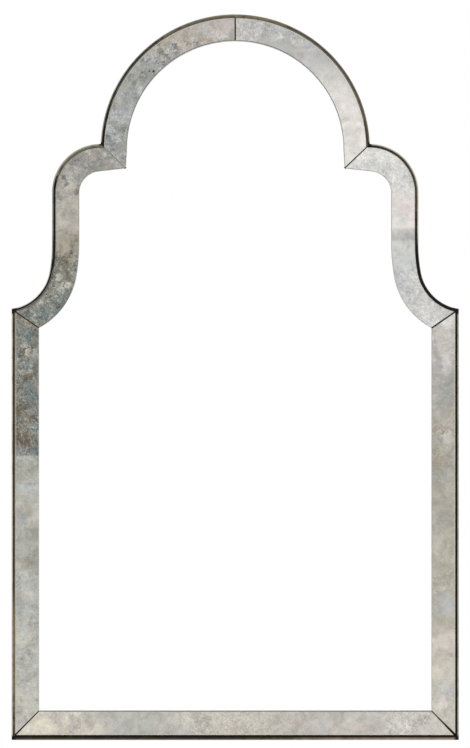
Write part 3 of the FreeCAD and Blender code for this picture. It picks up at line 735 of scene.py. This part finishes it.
            (0.2740, -0.1080, 0.014, "sand", 0.8),
            (0.2810, -0.1120, 0.022, "khaki", 0.15),
            (0.2740, 0.0530, 0.012, "lilac_grey", 0.5),
            (0.2935, 0.0800, 0.017, "pearl", 0.9),
            (0.2882, 0.0190, 0.010, "pearl", 0.6),
            (0.2930, 0.0380, 0.010, "fog", 0.8),
            (0.2840, -0.0760, 0.0030, "olive", 0.6),
            (0.2890, -0.0810, 0.0080, "pearl", 0.4),
            (0.2870, -0.1900, 0.016, "stone", 0.4),
            (0.2780, -0.2300, 0.014, "linen", 0.4),
            (0.2760, -0.2220, 0.014, "lilac", 0.4),
            (0.2840, -0.2880, 0.010, "linen", 0.6),
            (0.2870, -0.3150, 0.018, "cool_grey", 0.55),
            (0.2730, -0.3150, 0.010, "taupe", 0.5),
            (0.2840, -0.3600, 0.020, "rose_white", 0.55),
            (0.2720, -0.4050, 0.010, "ivory", 0.35),
            (0.2780, -0.3850, 0.012, "buff", 0.5),
            (0.2895, -0.4300, 0.016, "cool_grey", 0.55),
            (0.2800, -0.4450, 0.010, "pearl", 0.5),
        ],
        calm_share=0.15,
        fields=[
            (0.03, 0.12, 0.01, 0.5),
            (-0.085, -0.060, 0.008, 0.8),
            (-0.30, -0.27, 0.01, 0.7),
            (-0.46, -0.42, 0.01, 0.6),
        ],
        cloud=0.62, grain=1.7, flecks=("bone", 0.6), pit_share=0.25, vein_share=0.35,
        sight_shade_share=0.1, hub=None, outer=SIDE_OUTER,
    ),
    "bottom_strip": dict(
        seed=7, axis=ACROSS, outward=DOWN, base="warm_grey",
        bands=[
            (-0.170, -0.085, 0.015, "sage_grey", 0.8),
            (-0.32, -0.185, 0.02, "ivory", 0.5),
            (-0.10, -0.02, 0.015, "linen", 0.4),
            (0.055, 0.150, 0.02, "lilac", 0.3),
            (0.150, 0.32, 0.02, "linen", 0.8),
            (0.185, 0.27, 0.02, "pearl_warm", 0.45),
        ],
        tints=("sage_grey", 0.6, "lilac", 0.6),
        stains=[
            (-0.2600, -0.4760, 0.016, "ivory", 0.6),
            (-0.2050, -0.4700, 0.014, "taupe", 0.35),
            (-0.1900, -0.4780, 0.012, "ivory", 0.4),
            (-0.0500, -0.4740, 0.016, "stone", 0.4),
            (0.0250, -0.4700, 0.014, "pearl_warm", 0.15),
            (0.0780, -0.4740, 0.014, "taupe", 0.4),
            (0.1250, -0.4720, 0.014, "cool_grey", 0.4),
            (0.2350, -0.4700, 0.014, "fog", 0.6),
            (0.2540, -0.4690, 0.012, "taupe", 0.7),
            (0.2280, -0.4800, 0.008, "pearl", 0.6),
        ],
        calm_share=0.15,
        fields=[(-0.07, 0.045, 0.01, 0.8), (0.205, 0.262, 0.01, 0.8), (-0.28, -0.2, 0.02, 0.6)],
        cloud=0.65, grain=1.6, flecks=("pearl_warm", 0.85), pit_share=0.15, vein_share=0.45,
        sight_shade_share=0.95, hub=None, outer=BOTTOM_OUTER,
    ),
}

# Where a shadow is painted under the joints, the plate is as rough as this.
JOINT_SHADOW_ROUGHNESS = 0.8


def plain_mirror():
    """The silvered plate: a bright mirror with the faintest cloudiness, and a painted shadow under the open
    joints.
    """
    recipe = Recipe("plain_mirror")
    haze = recipe.noise(scale=9, detail=4, roughness=0.5)
    silver = recipe.mix(recipe.step(haze, low=0.35, high=0.65, first=0.0, last=0.006), "white", "silver")
    side = recipe.step(recipe.facing(), *SIDE_LEVELS)
    silver = recipe.mix(side, silver, "glass_edge")
    # Painted shadow: black, and not metallic, under the open joints of the border.
    shadow = joint_shadow(recipe)
    polish = recipe.step(haze, low=0.3, high=0.7, first=0.004, last=0.012)
    bare_and_shaded = recipe.math("MAXIMUM", side, shadow)
    return recipe.finish(
        Base_Color=recipe.mix(shadow, silver, "black"),
        Metallic=recipe.step(bare_and_shaded, low=0.0, high=1.0, first=1.0, last=0.0),
        Roughness=recipe.math("ADD", polish, recipe.product(shadow, JOINT_SHADOW_ROUGHNESS)),
    )


# The rim's front and bevel, and the outline's corners on one half, with the reach of their black lacquer.
RIM_FRONT = -0.025
RIM_BEVEL = 0.002
RIM_CORNERS = [(0.1836, 0.3182, 0.0035), (0.305, 0.0933, 0.009), (0.305, -0.495, 0.008)]
CORNER_BLACK_SHARE = 0.6
BEVEL_SOFT_SHARE = 0.15
RIM_CREEP = 0.1
RIM_STEPS = (2.3, 1.9, 3.7)


def within(recipe, limits, axis, ragged):
    """1 within limits along an axis or round a hub. Along the rail's own axis they have ragged ends."""
    inside = 1.0
    for limit, low, high, soft in limits:
        if isinstance(limit, tuple):
            along = recipe.reach(recipe.flat(), (limit[0], 0, limit[1]))
        else:
            along = recipe.axis(limit)
        if limit == axis:
            along = recipe.math("ADD", along, ragged)
        inside = recipe.product(band(recipe, along, low, high, soft), inside)
    return inside


def worn_rim_with_highlight(name, seed, axis, face, bevel):
    """Black lacquer, worn through in places on its face, and on the bevel from the outline inwards, where a
    highlight is painted too.
    """
    recipe = Recipe(name)
    place = recipe.moved(seed, RIM_STEPS)
    wear = recipe.noise(scale=70, detail=5, roughness=0.65, distortion=0.5, place=place)
    grain = recipe.noise(scale=900, detail=2, roughness=0.5)
    ragged = recipe.product(recipe.swing(wear), RIM_CREEP)
    facing = recipe.facing()
    kept = recipe.product(
        recipe.step(wear, low=0.35, high=0.55, first=0.7, last=1.0),
        recipe.step(facing, low=0.2, high=0.5),
    )
    half_place = recipe.folded()
    for corner_x, corner_z, black_reach in RIM_CORNERS:
        reach = recipe.reach(half_place, (corner_x, 0, corner_z))
        kept = recipe.product(kept, recipe.step(reach, black_reach * CORNER_BLACK_SHARE, black_reach))
    lacquer = recipe.mix(recipe.step(wear, low=0.5, high=0.75, first=0.0, last=0.5), "black", "soot")
    for tone, share, limits in face:
        wear_and_highlight = recipe.product(kept, share, within(recipe, limits, axis, ragged))
        lacquer = recipe.mix(wear_and_highlight, lacquer, tone)
    # On the bevel: wear and a painted highlight, from the outline inwards.
    slope = recipe.product(
        recipe.step(facing, low=0.97, high=0.85),
        recipe.step(facing, low=0.4, high=0.6),
        kept,
    )
    soft = RIM_BEVEL * BEVEL_SOFT_SHARE
    for tone, share, width_share, limits in bevel:
        start = RIM_FRONT + RIM_BEVEL * (1 - width_share)
        outwards = recipe.step(recipe.axis(DEPTH), start - soft, start + soft)
        wear_and_highlight = recipe.product(slope, outwards, share, within(recipe, limits, axis, ragged))
        lacquer = recipe.mix(wear_and_highlight, lacquer, tone)
    return recipe.finish(
        Base_Color=lacquer,
        Roughness=recipe.step(grain, low=0.3, high=0.7, first=0.3, last=0.48),
        Specular_IOR_Level=0.12,
        Normal=recipe.bump(wear, strength=0.2, distance=0.0003),
    )


# Where each rail is lighter: worn through on its face, in thin lines along its inner edge, and on the bevel
# worn and with a painted highlight. Each has a tone, its share, on the bevel also the share of its width,
# and limits.
# A limit is an axis or a hub, with two ends and their softness.
FLARE_HUB_LEFT = (-0.3144, 0.1546)
RIM_LOOKS = {
    "arch_rail_left": dict(
        seed=1, axis=UP,
        face=[
            ("olive", 0.5, [(UP, 0.464, 0.52, 0.01)]),
            ("khaki", 0.4, [(UP, 0.474, 0.52, 0.01)]),
            ("stone", 0.3, [(ARCH_HUB, 0.170, 0.1804, 0.0003), (UP, 0.36, 0.475, 0.01)]),
        ],
        bevel=[("wear_and_highlight", 0.75, 0.75, []), ("khaki", 0.8, 1.0, [(UP, 0.468, 0.52, 0.01)])],
    ),
    "arch_rail_right": dict(
        seed=2, axis=UP,
        face=[
            ("olive", 0.35, [(UP, 0.30, 0.52, 0.02)]),
            ("khaki", 0.8, [(UP, 0.478, 0.52, 0.01)]),
            ("linen", 0.3, [(ARCH_HUB, 0.170, 0.1802, 0.0003), (UP, 0.36, 0.475, 0.01)]),
        ],
        bevel=[("umber", 0.9, 1.0, []), ("wear_and_highlight", 0.7, 0.3, [])],
    ),
    "shoulder_rail_left": dict(
        seed=3, axis=UP,
        face=[
            ("khaki", 0.75, [(UP, 0.276, 0.34, 0.012)]),
            ("stone", 0.6, [(FLARE_HUB_LEFT, 0.0656, 0.09, 0.0003), (UP, 0.0, 0.15, 0.01)]),
        ],
        bevel=[("wear_and_highlight", 0.8, 1.0, [(UP, 0.17, 0.4, 0.02)]), ("bone", 0.9, 0.5, [(UP, 0.0, 0.17, 0.02)])],
    ),
    "shoulder_rail_right": dict(
        seed=4, axis=UP,
        face=[("bronze", 0.6, [(UP, 0.22, 0.31, 0.01)])],
        bevel=[
            ("wear_and_highlight", 0.95, 1.0, [(UP, 0.19, 0.4, 0.02)]),
            ("bone", 0.8, 0.4, [(UP, 0.19, 0.4, 0.02)]),
            ("bone", 0.9, 0.3, [(UP, 0.0, 0.19, 0.02)]),
        ],
    ),
    "side_rail_left": dict(
        seed=5, axis=UP,
        face=[
            ("khaki", 0.8, [(UP, -0.46, -0.31, 0.03)]),
            ("tan", 0.6, [(ACROSS, -0.3011, -0.2990, 0.0003)]),
        ],
        bevel=[("wear_and_highlight", 0.95, 1.0, [])],
    ),
    "side_rail_right": dict(seed=6, axis=UP, face=[], bevel=[("wear_and_highlight", 0.9, 1.0, [])]),
    "bottom_rail": dict(
        seed=7, axis=ACROSS,
        face=[
            ("bronze", 0.55, [(UP, -0.51, -0.4918, 0.0012)]),
            ("tan", 0.7, [(UP, -0.51, -0.4914, 0.001), (ACROSS, 0.1, 0.4, 0.12)]),
        ],
        bevel=[("umber", 0.65, 1.0, []), ("wear_and_highlight", 0.75, 1.0, [(ACROSS, 0.1, 0.4, 0.12)])],
    ),
}

# How even the board's colour is, how fine the zinc's spangle is, and how much rougher grime makes it.
BOARD_EVEN_SHARE = 0.6
SPANGLE_SCALE = 420
GRIME_ROUGHNESS = 0.22


def fibreboard():
    """Bare board with fine fibres and faint darker clouds."""
    recipe = Recipe("fibreboard")
    fibres = recipe.noise(scale=700, detail=5, roughness=0.7, distortion=0.8)
    clouds = recipe.noise(scale=18, detail=4, roughness=0.6)
    tint = recipe.mix(recipe.step(fibres, low=0.3, high=0.7), "board_dark", "board_light")
    tint = recipe.mix(BOARD_EVEN_SHARE, tint, "board")
    tint = recipe.mix(recipe.step(clouds, low=0.35, high=0.7, first=0.0, last=0.3), tint, "board_dark")
    return recipe.finish(
        Base_Color=tint,
        Roughness=recipe.step(fibres, low=0.3, high=0.7, first=0.65, last=0.85),
        Normal=recipe.bump(fibres, strength=0.3, distance=0.0003),
    )


def zinc_plate(name, polish):
    """Plated steel with a spangle. Its roughness goes from the polish given to that of grime."""
    recipe = Recipe(name)
    spangle = recipe.shards(SPANGLE_SCALE)
    grime = recipe.noise(scale=160, detail=5, roughness=0.65, distortion=0.4)
    tint = recipe.mix(recipe.step(spangle, low=0.0, high=1.0, first=0.0, last=0.35), "zinc", "zinc_dark")
    tint = recipe.mix(recipe.step(grime, low=0.5, high=0.8, first=0.0, last=0.5), tint, "zinc_dark")
    return recipe.finish(
        Base_Color=tint,
        Metallic=1.0,
        Roughness=recipe.step(grime, low=0.3, high=0.75, first=polish, last=polish + GRIME_ROUGHNESS),
        Normal=recipe.bump(grime, strength=0.15, distance=0.0002),
    )


def soft_rubber():
    """Black rubber with a little dust."""
    recipe = Recipe("soft_rubber")
    dust = recipe.noise(scale=420, detail=4, roughness=0.6)
    return recipe.finish(
        Base_Color=recipe.mix(recipe.step(dust, low=0.45, high=0.75), "rubber", "rubber_dust"),
        Roughness=recipe.step(dust, low=0.3, high=0.7, first=0.5, last=0.75),
        Normal=recipe.bump(dust, strength=0.25, distance=0.0002),
    )


def cured_filler(name, tone, dark_tone, pore_scale):
    """Foam or adhesive with fine pores."""
    recipe = Recipe(name)
    pores = recipe.noise(scale=pore_scale, detail=4, roughness=0.6, distortion=0.3)
    return recipe.finish(
        Base_Color=recipe.mix(recipe.step(pores, low=0.4, high=0.65), dark_tone, tone),
        Roughness=recipe.step(pores, low=0.3, high=0.7, first=0.6, last=0.8),
        Normal=recipe.bump(pores, strength=0.3, distance=0.0003),
    )


def dress(node_name, material):
    """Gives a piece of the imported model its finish."""
    mesh = nodes[node_name].data
    mesh.materials.clear()
    mesh.materials.append(material)


# The hangers' rings are of round wire: a bar in the eye, two corners, two legs and a bow.
RING_PLACE = {"left": (-0.234, -0.003, 0.19502), "right": (0.234, -0.003, 0.19502)}
RING_LEAN = math.radians(2.72)
WIRE_RADIUS = 0.00125
WIRE_SIDES = 20
BOW_RADIUS = 0.010
CORNER_RADIUS = 0.003
CORNER_X = BOW_RADIUS - CORNER_RADIUS

# The bends of a ring: centre, radius, first and last angle in degrees, and the number of parts.
RING_BENDS = [
    ((CORNER_X, CORNER_RADIUS), CORNER_RADIUS, -90, 0, 8),
    ((0, BOW_RADIUS), BOW_RADIUS, 0, 180, 32),
    ((-CORNER_X, CORNER_RADIUS), CORNER_RADIUS, 180, 270, 8),
]


def ring_points():
    """Points round the wire, one loop of them after another along the bends."""
    points = []
    for (centre_x, centre_z), radius, first, last, parts in RING_BENDS:
        for part in range(parts + 1):
            turn = math.radians(first + (last - first) * part / parts)
            for side in range(WIRE_SIDES):
                around = math.tau * side / WIRE_SIDES
                reach = radius + WIRE_RADIUS * math.cos(around)
                x = centre_x + reach * math.cos(turn)
                z = centre_z + reach * math.sin(turn)
                points.append(Vector((x, WIRE_RADIUS * math.sin(around), z)))
    return points


def wire_ring(name, place):
    """A closed loop of wire, swept through its bends. Straight runs join one bend to the next."""
    points = ring_points()
    faces = []
    for near in range(0, len(points), WIRE_SIDES):
        far = (near + WIRE_SIDES) % len(points)
        for side in range(WIRE_SIDES):
            beside = (side + 1) % WIRE_SIDES
            faces.append((near + side, near + beside, far + beside, far + side))
    lean = Matrix.Translation(place) @ Matrix.Rotation(RING_LEAN, 4, "X")
    mesh = bpy.data.meshes.new(name)
    mesh.from_pydata([lean @ point for point in points], [], faces)
    mesh.shade_smooth()
    ring = bpy.data.objects.new(name, mesh)
    scene.collection.objects.link(ring)
    return ring


for strip, look in STRIP_LOOKS.items():
    dress(strip, antique_glass(f"antique_{strip}", **look))
for rail, look in RIM_LOOKS.items():
    dress(rail, worn_rim_with_highlight(f"worn_{rail}", **look))
dress("mirror_plate", plain_mirror())
dress("backing_board", fibreboard())
dress("strip_tape", cured_filler("foam_tape", "tape", "tape_dark", pore_scale=900))
dress("plate_adhesive", cured_filler("adhesive_bead", "adhesive", "adhesive_dark", pore_scale=120))
strap_zinc = zinc_plate("strap_zinc", polish=0.3)
ring_zinc = zinc_plate("ring_zinc", polish=0.22)
for side in ("left", "right"):
    dress(f"hanger_strap_{side}", strap_zinc)
    ring = wire_ring(f"round_ring_{side}", RING_PLACE[side])
    ring.data.materials.append(ring_zinc)
    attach(ring, f"ring_{side}")
    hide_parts(f"hanger_ring_{side}")
dress("hanger_screws", zinc_plate("screw_zinc", polish=0.26))
dress("wall_bumpers", soft_rubber())

# The floor is pale under the mirror and goes over into the white surround further out.
FLOOR_DROP = 0.16
FLOOR_HALF_SIZE = 12
FLOOR_CORNERS = [(-1, -1), (1, -1), (1, 1), (-1, 1)]
FADE_START = 0.45
FADE_END = 0.85


def seen_rays(recipe):
    """1 for the rays that show a background: those of the camera, of gloss and of glass."""
    path = recipe.add("ShaderNodeLightPath").outputs
    seen = recipe.math("MAXIMUM", path["Is Camera Ray"], path["Is Glossy Ray"])
    return recipe.math("MAXIMUM", seen, path["Is Transmission Ray"])


def pale_floor():
    """A matt floor that fades into the white surround away from the middle."""
    recipe = Recipe("pale_floor")
    speck = recipe.noise(scale=40, detail=4, roughness=0.6)
    recipe.finish(
        Base_Color=recipe.mix(recipe.step(speck, low=0.35, high=0.7), "floor", "floor_dark"),
        Roughness=0.8,
        Specular_IOR_Level=0.2,
    )
    level_place = recipe.vector("MULTIPLY", recipe.place, (1, 1, 0))
    from_middle = recipe.step(recipe.reach(level_place, (0, 0, 0)), FADE_START, FADE_END)
    fade = recipe.product(from_middle, seen_rays(recipe))
    glow = recipe.add("ShaderNodeEmission", {"Color": colour("white"), "Strength": 1.0}).outputs[0]
    faded = recipe.add("ShaderNodeMixShader", {0: fade, 1: recipe.shader.outputs[0], 2: glow}).outputs[0]
    recipe.feed(recipe.tree.nodes["Material Output"].inputs["Surface"], faded)
    return recipe.material


floor_z = cad_low.z - FLOOR_DROP
floor_points = [(x * FLOOR_HALF_SIZE, y * FLOOR_HALF_SIZE, floor_z) for x, y in FLOOR_CORNERS]
floor_mesh = bpy.data.meshes.new("floor")
floor_mesh.from_pydata(floor_points, [], [(0, 1, 2, 3)])
floor_mesh.materials.append(pale_floor())
floor = bpy.data.objects.new("floor", floor_mesh)
scene.collection.objects.link(floor)


class WorldRecipe(Recipe):
    """A recipe for the light of the surround, which has no surface."""

    def __init__(self, tree):
        self.tree = tree


# The surround is white to the eye and in reflections, and gives a share of that as plain light.
AMBIENT_SHARE = 0.62
world = bpy.data.worlds.new("surround")
world.use_nodes = True
scene.world = world
world_recipe = WorldRecipe(world.node_tree)
background = world.node_tree.nodes["Background"]
background.inputs["Color"].default_value = colour("white")
seen_light = world_recipe.product(seen_rays(world_recipe), 1 - AMBIENT_SHARE)
world_recipe.feed(background.inputs["Strength"], world_recipe.math("ADD", seen_light, AMBIENT_SHARE))

# Soft lamps with their places, powers and sizes: a key and a fill in front, and one that lights the back.
LAMPS = {
    "key": ((-1.9, -2.3, 1.9), 34, 1.6),
    "fill": ((2.3, -1.9, 0.7), 14, 1.8),
    "rear": ((0.9, 2.6, 1.7), 40, 1.6),
}
for lamp_name, (lamp_place, power, size) in LAMPS.items():
    lamp_data = bpy.data.lights.new(lamp_name, "AREA")
    lamp_data.energy = power
    lamp_data.size = size
    lamp = bpy.data.objects.new(lamp_name, lamp_data)
    lamp.location = lamp_place
    lamp.rotation_euler = (-Vector(lamp_place)).to_track_quat("-Z", "Y").to_euler()
    scene.collection.objects.link(lamp)

# The camera looks straight at the mirror from far off.
CAMERA_DISTANCE = 3.2
VIEW_HEIGHT = 1.0199
VIEW_CENTRE_X = -0.0003
VIEW_CENTRE_Z = 0.0043
camera_data = bpy.data.cameras.new("camera")
camera_data.lens = camera_data.sensor_width * CAMERA_DISTANCE / VIEW_HEIGHT
camera = bpy.data.objects.new("camera", camera_data)
camera.location = (VIEW_CENTRE_X, cad_low.y - CAMERA_DISTANCE, VIEW_CENTRE_Z)
camera.rotation_euler = (math.radians(90), 0, 0)
scene.collection.objects.link(camera)
scene.camera = camera
